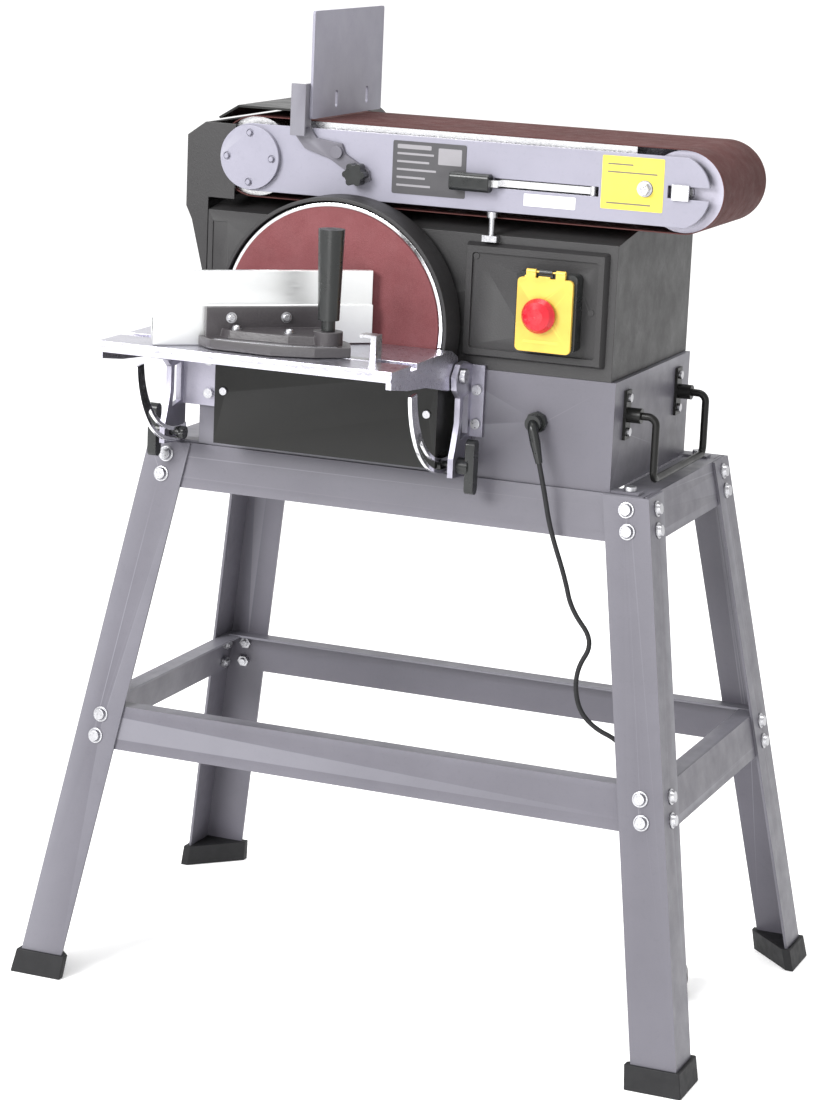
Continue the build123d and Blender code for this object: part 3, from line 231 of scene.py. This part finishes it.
def spread(t, value, low, high):
    m = t.nodes.new("ShaderNodeMapRange")
    m.inputs["From Min"].default_value = 0.3
    m.inputs["From Max"].default_value = 0.7
    m.inputs["To Min"].default_value = low
    m.inputs["To Max"].default_value = high
    t.links.new(value, m.inputs["Value"])
    return m.outputs["Result"]


def mix(t, factor, a, b):
    m = t.nodes.new("ShaderNodeMix")
    m.data_type = "RGBA"
    for source, socket in ((factor, 0), (a, 6), (b, 7)):
        if isinstance(source, tuple):
            m.inputs[socket].default_value = (*source, 1)
        elif isinstance(source, float):
            m.inputs[socket].default_value = source
        else:
            t.links.new(source, m.inputs[socket])
    return m.outputs[2]


def bump(t, b, value, strength, distance):
    n = t.nodes.new("ShaderNodeBump")
    n.inputs["Strength"].default_value = strength
    n.inputs["Distance"].default_value = distance
    t.links.new(value, n.inputs["Height"])
    t.links.new(n.outputs["Normal"], b.inputs["Normal"])


def edge_wear(t, low=0.52, high=0.62):
    """Brighter where an edge sticks out."""
    g = t.nodes.new("ShaderNodeNewGeometry")
    r = t.nodes.new("ShaderNodeMapRange")
    r.inputs["From Min"].default_value = low
    r.inputs["From Max"].default_value = high
    t.links.new(g.outputs["Pointiness"], r.inputs["Value"])
    return r.outputs["Result"]


def scaled(c, k):
    return tuple(min(1.0, v * k) for v in c)


def paint(name, color, rough=0.42, grain=900, grain_bump=0.12, worn=(0.5, 0.5, 0.5),
          worn_mix=0.25, spec=0.4):
    """Powder coat: faint cloudiness, orange peel, and edges rubbed a little lighter."""
    m, t, b = tree_of(name)
    clouds = noise(t, 7, 5, 0.6)
    fine = noise(t, grain, 3, 0.6)
    base = ramp(t, clouds, [(0.3, scaled(color, 0.90)), (0.7, scaled(color, 1.08))])
    specks = ramp(t, noise(t, 260, 2, 0.5), [(0.30, scaled(color, 0.80)), (0.42, (1, 1, 1))])
    tint = t.nodes.new("ShaderNodeMix")
    tint.data_type = "RGBA"
    tint.blend_type = "MULTIPLY"
    tint.inputs[0].default_value = 0.05
    t.links.new(base, tint.inputs[6])
    t.links.new(specks, tint.inputs[7])
    wear = t.nodes.new("ShaderNodeMath")
    wear.operation = "MULTIPLY"
    wear.inputs[1].default_value = worn_mix
    t.links.new(edge_wear(t), wear.inputs[0])
    t.links.new(mix(t, wear.outputs[0], tint.outputs[2], worn), b.inputs["Base Color"])
    t.links.new(spread(t, noise(t, 40, 4, 0.6), rough - 0.06, rough + 0.09), b.inputs["Roughness"])
    b.inputs["Specular IOR Level"].default_value = spec
    bump(t, b, fine, grain_bump, 0.0006)
    return m


def metal(name, color, rough=0.3, stretch=(1, 1, 1), scale=420, strength=0.06, dirt=0.85):
    """Bare or plated metal with brushing and a little staining."""
    m, t, b = tree_of(name)
    b.inputs["Metallic"].default_value = 1.0
    stain = ramp(t, noise(t, 18, 5, 0.65), [(0.3, scaled(color, dirt)), (0.65, color)])
    t.links.new(stain, b.inputs["Base Color"])
    lines = noise(t, scale, 4, 0.6, stretch)
    t.links.new(spread(t, lines, rough - 0.08, rough + 0.12), b.inputs["Roughness"])
    bump(t, b, lines, strength, 0.0004)
    return m


def plastic(name, color, rough=0.45, grain=1400, strength=0.15, coat=0.0, spec=0.4):
    """Moulded plastic or rubber: fine grain, and edges rubbed lighter."""
    m, t, b = tree_of(name)
    base = ramp(t, noise(t, 22, 4, 0.6), [(0.3, scaled(color, 0.88)), (0.7, scaled(color, 1.12))])
    wear = t.nodes.new("ShaderNodeMath")
    wear.operation = "MULTIPLY"
    wear.inputs[1].default_value = 0.2
    t.links.new(edge_wear(t), wear.inputs[0])
    t.links.new(mix(t, wear.outputs[0], base, scaled(color, 2.2)), b.inputs["Base Color"])
    t.links.new(spread(t, noise(t, 90, 3, 0.6), rough - 0.06, rough + 0.08), b.inputs["Roughness"])
    b.inputs["Coat Weight"].default_value = coat
    b.inputs["Specular IOR Level"].default_value = spec
    bump(t, b, noise(t, grain, 2, 0.5), strength, 0.0003)
    return m


def abrasive(name, dark, light, grit):
    """Closed coat of grit in resin, with lighter dusty patches."""
    m, t, b = tree_of(name)
    cell = t.nodes.new("ShaderNodeTexVoronoi")
    coord = t.nodes.new("ShaderNodeTexCoord")
    cell.inputs["Scale"].default_value = grit
    t.links.new(coord.outputs["Object"], cell.inputs["Vector"])
    grains = ramp(t, cell.outputs["Distance"], [(0.05, scaled(light, 1.25)), (0.55, dark)])
    dust = ramp(t, noise(t, 14, 6, 0.65), [(0.35, dark), (0.75, light)])
    t.links.new(mix(t, 0.45, dust, grains), b.inputs["Base Color"])
    t.links.new(spread(t, noise(t, 60, 3, 0.6), 0.62, 0.85), b.inputs["Roughness"])
    b.inputs["Specular IOR Level"].default_value = 0.22
    bump(t, b, cell.outputs["Distance"], 0.5, 0.0005)
    return m


GREY = (0.084, 0.080, 0.097)
MATERIALS = {
    "paint_grey": paint("paint_grey", GREY, 0.40, 700, 0.10, (0.26, 0.26, 0.29), 0.3),
    "paint_charcoal": paint("paint_charcoal", (0.018, 0.0172, 0.018), 0.46, 520, 0.35,
                            (0.07, 0.07, 0.07), 0.35, spec=0.33),
    "paint_black": paint("paint_black", (0.0065, 0.0065, 0.006), 0.34, 700, 0.14,
                         (0.04, 0.04, 0.04), 0.3, spec=0.22),
    "arm_silver": paint("arm_silver",
                        (0.205, 0.200, 0.245), 0.40, 800, 0.09, (0.32, 0.32, 0.35), 0.3),
    "zinc": metal("zinc", (0.46, 0.46, 0.48), 0.30, (1, 1, 1), 500, 0.05),
    "steel": metal("steel", (0.62, 0.62, 0.63), 0.26, (1, 1, 6), 300, 0.05),
    "chrome": metal("chrome", (0.86, 0.86, 0.88), 0.13, (1, 1, 1), 200, 0.02),
    "rubber_black": plastic("rubber_black", (0.008, 0.008, 0.009), 0.62, 900, 0.25, spec=0.28),
    "plastic_black": plastic("plastic_black",
                             (0.009, 0.010, 0.010), 0.30, 1500, 0.12, 0.1, spec=0.35),
    "motor_paint": paint("motor_paint", (0.03, 0.03, 0.035), 0.5),
    "aluminium_cast": metal("aluminium_cast", (0.33, 0.32, 0.375), 0.42, (1, 1, 1), 620, 0.20),
    "table_top": metal("table_top", (0.60, 0.59, 0.66), 0.27, (0.4, 14, 1), 260, 0.07),
    "aluminium_bright": metal("aluminium_bright",
                              (0.80, 0.81, 0.81), 0.36, (0.3, 0.3, 12), 160, 0.05, 0.95),
    "iron_cast": paint("iron_cast",
                       (0.036, 0.032, 0.035), 0.36, 420, 0.5, (0.16, 0.16, 0.16), 0.5, spec=0.4),
    "belt": abrasive("belt", (0.050, 0.015, 0.0135), (0.086, 0.029, 0.028), 1500),
    "disc": abrasive("disc", (0.125, 0.036, 0.039), (0.190, 0.066, 0.072), 1300),
    "belt_back": paint("belt_back", (0.30, 0.24, 0.18), 0.7, 900, 0.3),
    "yellow": plastic("yellow", (0.50, 0.33, 0.055), 0.34, 1200, 0.06, 0.1, spec=0.3),
    "label_yellow": plastic("label_yellow", (0.46, 0.37, 0.05), 0.45, 500, 0.03, spec=0.3),
    "label_white": plastic("label_white", (0.50, 0.50, 0.50), 0.42, 500, 0.03),
    "label_dark": plastic("label_dark", (0.035, 0.034, 0.037), 0.36, 500, 0.03),
    "label_bar": plastic("label_bar", (0.16, 0.155, 0.165), 0.4, 500, 0.03),
    "label_ink": plastic("label_ink", (0.10, 0.09, 0.06), 0.5, 500, 0.03),
    "red": plastic("red", (0.42, 0.010, 0.020), 0.28, 1200, 0.04, 0.15, spec=0.3),
    "green": plastic("green", (0.02, 0.32, 0.08), 0.3, 1200, 0.04, 0.3),
}
slot_of = {s["node"]: s["material_slot"] for s in frame["record"]["subparts"]}


def look_of(node_name):
    """The belt and the disc share a slot, and each has its own grit."""
    if node_name == "abrasive_disc":
        return "disc"
    slot_name = slot_of[node_name]
    return "belt" if slot_name == "abrasive" else slot_name


def look(obj, name):
    obj.data.materials.clear()
    obj.data.materials.append(MATERIALS[name])


for node_name, node in nodes.items():
    look(node, look_of(node_name))


# ------------------------------------------------------------------ pieces
bodies = frame["record"]["behaviour"]["bodies"]
body_of_node = {n: b for b, members in bodies.items() for n in members}


def finish_piece(obj, body, material):
    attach(obj, body)
    if material:
        look(obj, material)
    return obj


def mesh_object(name, bm, smooth=0.6):
    mesh = bpy.data.meshes.new(name)
    bm.to_mesh(mesh)
    bm.free()
    obj = bpy.data.objects.new(name, mesh)
    bpy.context.scene.collection.objects.link(obj)
    shade(obj, smooth)
    return obj


def shade(obj, angle=0.6):
    for poly in obj.data.polygons:
        poly.use_smooth = True
    obj.data.set_sharp_from_angle(angle=angle)


def dressed(node_name, width, material=None, segments=3, angle=30):
    """The CAD shape with its edges rounded, as a finished casting or pressing has them."""
    source = nodes[node_name]
    mesh = source.data.copy()
    obj = bpy.data.objects.new("fine_" + node_name, mesh)
    bpy.context.scene.collection.objects.link(obj)
    bm = bmesh.new()
    bm.from_mesh(mesh)
    bmesh.ops.remove_doubles(bm, verts=bm.verts, dist=0.00001)
    bmesh.ops.dissolve_limit(bm, angle_limit=math.radians(1.0), verts=bm.verts, edges=bm.edges)
    bm.to_mesh(mesh)
    bm.free()
    bevel = obj.modifiers.new("round_edges", "BEVEL")
    bevel.width = width
    bevel.segments = segments
    bevel.limit_method = "ANGLE"
    bevel.angle_limit = math.radians(angle)
    bevel.harden_normals = True
    bevel.miter_outer = "MITER_ARC"
    for poly in mesh.polygons:
        poly.use_smooth = True
    mesh.set_sharp_from_angle(angle=math.radians(24))
    finish_piece(obj, body_of_node[node_name], None)
    look(obj, material or look_of(node_name))
    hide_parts(node_name)
    return obj


for node_name, width, material in (
    ("leg_front_left", 0.0007, None),
    ("leg_front_right", 0.0007, None),
    ("leg_back_left", 0.0007, None),
    ("leg_back_right", 0.0007, None),
    ("rails_top_long", 0.0007, None),
    ("rails_top_short", 0.0007, None),
    ("rails_low_long", 0.0007, None),
    ("rails_low_short", 0.0007, None),
    ("feet", 0.0022, None),
    ("base_cabinet", 0.0008, None),
    ("housing", 0.0022, None),
    ("switch_panel", 0.0008, None),
    ("belt_guard", 0.0008, None),
    ("disc_cover", 0.0006, None),
    ("disc_guard", 0.0008, None),
    ("arm_front_plate", 0.0010, None),
    ("arm_rear_plate", 0.0010, None),
    ("arm_hood", 0.0008, None),
    ("bearing_cover", 0.0009, None),
    ("stop_plate", 0.0006, None),
    ("stop_bracket", 0.0009, "paint_grey"),
    ("trunnions", 0.0012, None),
    ("table", 0.0010, "table_top"),
    ("table_quadrants", 0.0006, "chrome"),
    ("miter_fence", 0.0006, None),
    ("miter_head", 0.0016, None),
    ("switch_box", 0.0010, None),
    ("switch_flap", 0.0010, None),
    ("tension_grip", 0.0016, None),
    ("lock_knob_right", 0.0020, None),
    ("lock_knob_left", 0.0020, None),
    ("stop_knob", 0.0014, None),
    ("dust_port", 0.0008, None),
    ("cable_gland", 0.0006, None),
    ("pulley_cover", 0.0012, None),
    ("disc_plate", 0.0006, "chrome"),
    ("stand_bolts", 0.0004, None),
    ("body_screws", 0.0004, None),
):
    dressed(node_name, width, material)



# ------------------------------------------------------------------ small detail
def prism(name, outline, y0, y1, body, material, holes=(), bevel=0.0):
    """A thin plate parallel to the front: outline in X and Z, from y0 to y1, with round holes."""
    bm = bmesh.new()
    loops = [[(x, z) for x, z in outline]]
    for hx, hz, hr in holes:
        turns = [k * math.tau / 32 for k in range(32)]
        loops.append([(hx + hr * math.cos(a), hz + hr * math.sin(a)) for a in turns])
    edges = []
    for loop in loops:
        verts = [bm.verts.new(at(x, y0, z)) for x, z in loop]
        edges += [bm.edges.new((verts[i], verts[(i + 1) % len(verts)])) for i in range(len(verts))]
    bmesh.ops.triangle_fill(bm, use_beauty=True, use_dissolve=False, edges=edges)
    faces = list(bm.faces)
    out = bmesh.ops.extrude_face_region(bm, geom=faces)
    moved = [v for v in out["geom"] if isinstance(v, bmesh.types.BMVert)]
    bmesh.ops.translate(bm, verts=moved, vec=(0, (y1 - y0) / 1000, 0))
    bmesh.ops.recalc_face_normals(bm, faces=bm.faces)
    obj = mesh_object(name, bm, 0.5)
    if bevel:
        m = obj.modifiers.new("round_edges", "BEVEL")
        m.width = bevel
        m.segments = 2
        m.limit_method = "ANGLE"
        m.angle_limit = math.radians(40)
        m.harden_normals = True
        for poly in obj.data.polygons:
            poly.use_smooth = True
    return finish_piece(obj, body, material)


def rounded(x0, x1, z0, z1, r, steps=5):
    pts = []
    corners = ((x1 - r, z1 - r), (x0 + r, z1 - r), (x0 + r, z0 + r), (x1 - r, z0 + r))
    for quarter, (cx, cz) in enumerate(corners):
        for k in range(steps + 1):
            a = math.radians(90 * quarter + 90 * k / steps)
            pts.append((cx + r * math.cos(a), cz + r * math.sin(a)))
    return pts


def lathe(name, profile, origin, axis, body, material, sides=64):
    """A turned piece: profile is (distance along axis, radius) in millimetres."""
    z = Vector(axis).normalized()
    x = z.orthogonal().normalized()
    y = z.cross(x)
    bm = bmesh.new()
    rings = []
    for along, radius in profile:
        if radius < 0.001:
            rings.append([bm.verts.new(origin + z * along / 1000)])
            continue
        ring = []
        for k in range(sides):
            a = math.tau * k / sides
            outward = x * math.cos(a) + y * math.sin(a)
            ring.append(bm.verts.new(origin + z * along / 1000 + outward * radius / 1000))
        rings.append(ring)
    for low, high in zip(rings, rings[1:]):
        if len(low) == 1 and len(high) == 1:
            continue
        for k in range(sides):
            n = (k + 1) % sides
            if len(low) == 1:
                bm.faces.new((low[0], high[n], high[k]))
            elif len(high) == 1:
                bm.faces.new((low[k], low[n], high[0]))
            else:
                bm.faces.new((low[k], low[n], high[n], high[k]))
    bmesh.ops.recalc_face_normals(bm, faces=bm.faces)
    return finish_piece(mesh_object(name, bm, 0.6), body, material)


ARM_Y = -139.0               # front face of the arm


def sticker(name, edges, corner, steps, back, front, material, holes=()):
    """A thin printed plate on the arm: edges are x0, x1, z0, z1, and back and front stand proud."""
    outline = rounded(*edges, corner, steps)
    prism(name, outline, ARM_Y - front, ARM_Y - back, "belt_arm", material, holes)


# plates and stickers are blank, with plain bars where a printed one has text
sticker("rating_plate", (-13, 69, 893, 948), 2, 5, 0, 0.5, "label_dark")
for k, bar_end in enumerate((30, 24, 36, 28, 33)):
    z = 901 + 8.2 * k
    sticker(f"rating_bar_{k}", (-8, bar_end, z, z + 2.2), 0.6, 2, 0.5, 0.65, "label_bar")
sticker("rating_field_0", (38, 64, 926, 943), 1, 2, 0.5, 0.65, "label_bar")
sticker("rating_field_1", (-8, 30, 940, 944.5), 1, 2, 0.5, 0.65, "label_bar")
TRACKING_SCREW_HOLE = (263.5, 919, 8.5)
sticker("yellow_sticker", (217, 283, 896, 950), 1.5, 5, 0.02, 0.35, "label_yellow",
        (TRACKING_SCREW_HOLE,))
for k, (bar_end, z) in enumerate(((250, 941), (276, 933), (270, 901.5))):
    sticker(f"sticker_bar_{k}", (223, bar_end, z, z + 1.6), 0.4, 2, 0.35, 0.5, "label_ink")
sticker("white_sticker", (134, 190, 891.5, 904), 1, 5, 0.02, 0.35, "label_white")

# disc edge: bright plate rim round the grit
GRIT = [(0, 0), (0, 120.5), (1.1, 121.2), (2.0, 121.2), (2.0, 0)]
DISC_CENTRE = at(-59, -180, 757)
lathe("grit_face", GRIT, DISC_CENTRE, (0, 1, 0), "rotor", "disc", 128)
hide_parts("abrasive_disc")

# switch: notched yellow flap in a black surround
FLAP = [
    (143, 751), (146, 748), (192, 748), (196, 752), (196, 817), (190, 817), (190, 824), (182, 824),
    (182, 815), (176, 815), (176, 824), (163, 824), (163, 815), (157, 815), (157, 824), (148, 824),
    (148, 817), (143, 817),
]
STOP_HOLE = (167, 784, 9.5)
START_HOLE = (171, 805.5, 8.6)
flap = prism("flap_plate", FLAP, -164.4, -160.4, "flap", "yellow", (STOP_HOLE, START_HOLE),
             bevel=0.0007)
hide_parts("switch_flap")
RIB = rounded(150, 189, 755, 758, 1, 3)
prism("flap_rib_low", RIB, -165.0, -164.3, "flap", "yellow")

# mitre gauge: bright scale band and screws
MITER_TURN = math.radians(40)


def on_head(x, y, z):
    """A point in the mitre gauge's own axes, which are turned about its pivot."""
    c, n = math.cos(MITER_TURN), math.sin(MITER_TURN)
    return at(-15 + x * c - y * n, -287 + x * n + y * c, 741.8 + z)


def head_band(name, inner, outer, z0, z1, material):
    """A thin band on the mitre head between two lines of points."""
    bm = bmesh.new()
    rows = []
    for (ix, iy), (ox, oy) in zip(inner, outer):
        section = ((ix, iy, z0), (ox, oy, z0), (ox, oy, z1), (ix, iy, z1))
        rows.append([bm.verts.new(on_head(*corner)) for corner in section])
    for p_, q_ in zip(rows, rows[1:]):
        for i in range(4):
            j = (i + 1) % 4
            bm.faces.new((p_[i], p_[j], q_[j], q_[i]))
    bm.faces.new(rows[0])
    bm.faces.new(rows[-1][::-1])
    bmesh.ops.recalc_face_normals(bm, faces=bm.faces)
    return finish_piece(mesh_object(name, bm, 0.5), "miter_gauge", material)


head_band("scale_band", [(-101, 44), (-88, 32), (-47, 1), (-18, -11), (4, -14)],
          [(-108, 41), (-93, 26), (-51, -6), (-20, -18), (4, -20)], 9.9, 10.5, "zinc")
HEAD_FRONT = on_head(0, -1, 0) - on_head(0, 0, 0)
SCREW = [
    (0, 0), (0, 5.6), (1.0, 5.6), (1.1, 4.4), (3.6, 4.0),
    (4.2, 3.2), (4.2, 1.6), (2.6, 1.4), (2.6, 0),
]
for k, x in enumerate((-86, -28)):
    place = on_head(x, 58, 29)
    lathe(f"head_screw_{k}", SCREW, place, HEAD_FRONT, "miter_gauge", "zinc", 28)
for k, (x, y) in enumerate(((-82, 52), (-34, 24))):
    place = on_head(x, y, 18)
    lathe(f"head_stop_{k}", SCREW, place, (0, 0, 1), "miter_gauge", "zinc", 28)

# lead and hank
finish_piece(lead, "stand_and_body", "rubber_black")
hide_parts("mains_cord", "cord_hank")

# ------------------------------------------------------------------ floor and light
floor_bm = bmesh.new()
bmesh.ops.create_grid(floor_bm, x_segments=2, y_segments=2, size=30)
floor = mesh_object("studio_floor", floor_bm)
floor.location = (0, 0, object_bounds()[0][2] - 0.0003)
floor_mat, floor_tree, floor_bsdf = tree_of("studio_floor")
floor_tone = ramp(floor_tree, noise(floor_tree, 0.6, 2, 0.5),
                  [(0.3, (0.86, 0.86, 0.86)), (0.7, (0.88, 0.88, 0.88))])
floor_tree.links.new(floor_tone, floor_bsdf.inputs["Base Color"])
floor_bsdf.inputs["Roughness"].default_value = 0.9
floor_bsdf.inputs["Emission Color"].default_value = (1, 1, 1, 1)
floor_bsdf.inputs["Emission Strength"].default_value = 0.22
floor.data.materials.append(floor_mat)

world = bpy.data.worlds.new("studio")
bpy.context.scene.world = world
world.use_nodes = True
world.node_tree.nodes["Background"].inputs["Color"].default_value = (1, 1, 1, 1)
world.node_tree.nodes["Background"].inputs["Strength"].default_value = 1.02


def softbox(name, place, target, size, power):
    data = bpy.data.lights.new(name, "AREA")
    data.shape = "RECTANGLE"
    data.size, data.size_y = size
    data.energy = power
    obj = bpy.data.objects.new(name, data)
    obj.location = place
    obj.rotation_euler = (Vector(target) - Vector(place)).to_track_quat("-Z", "Y").to_euler()
    bpy.context.scene.collection.objects.link(obj)


softbox("key", (-1.5, -3.6, 2.7), (0, 0, 0.6), (1.9, 1.9), 250)
softbox("fill", (0.6, -4.2, 1.0), (0, 0, 0.5), (2.0, 2.0), 40)
softbox("top", (0.0, 0.0, 3.6), (0, 0, 0.8), (2.0, 2.0), 70)
bpy.context.scene.view_settings.view_transform = "Standard"
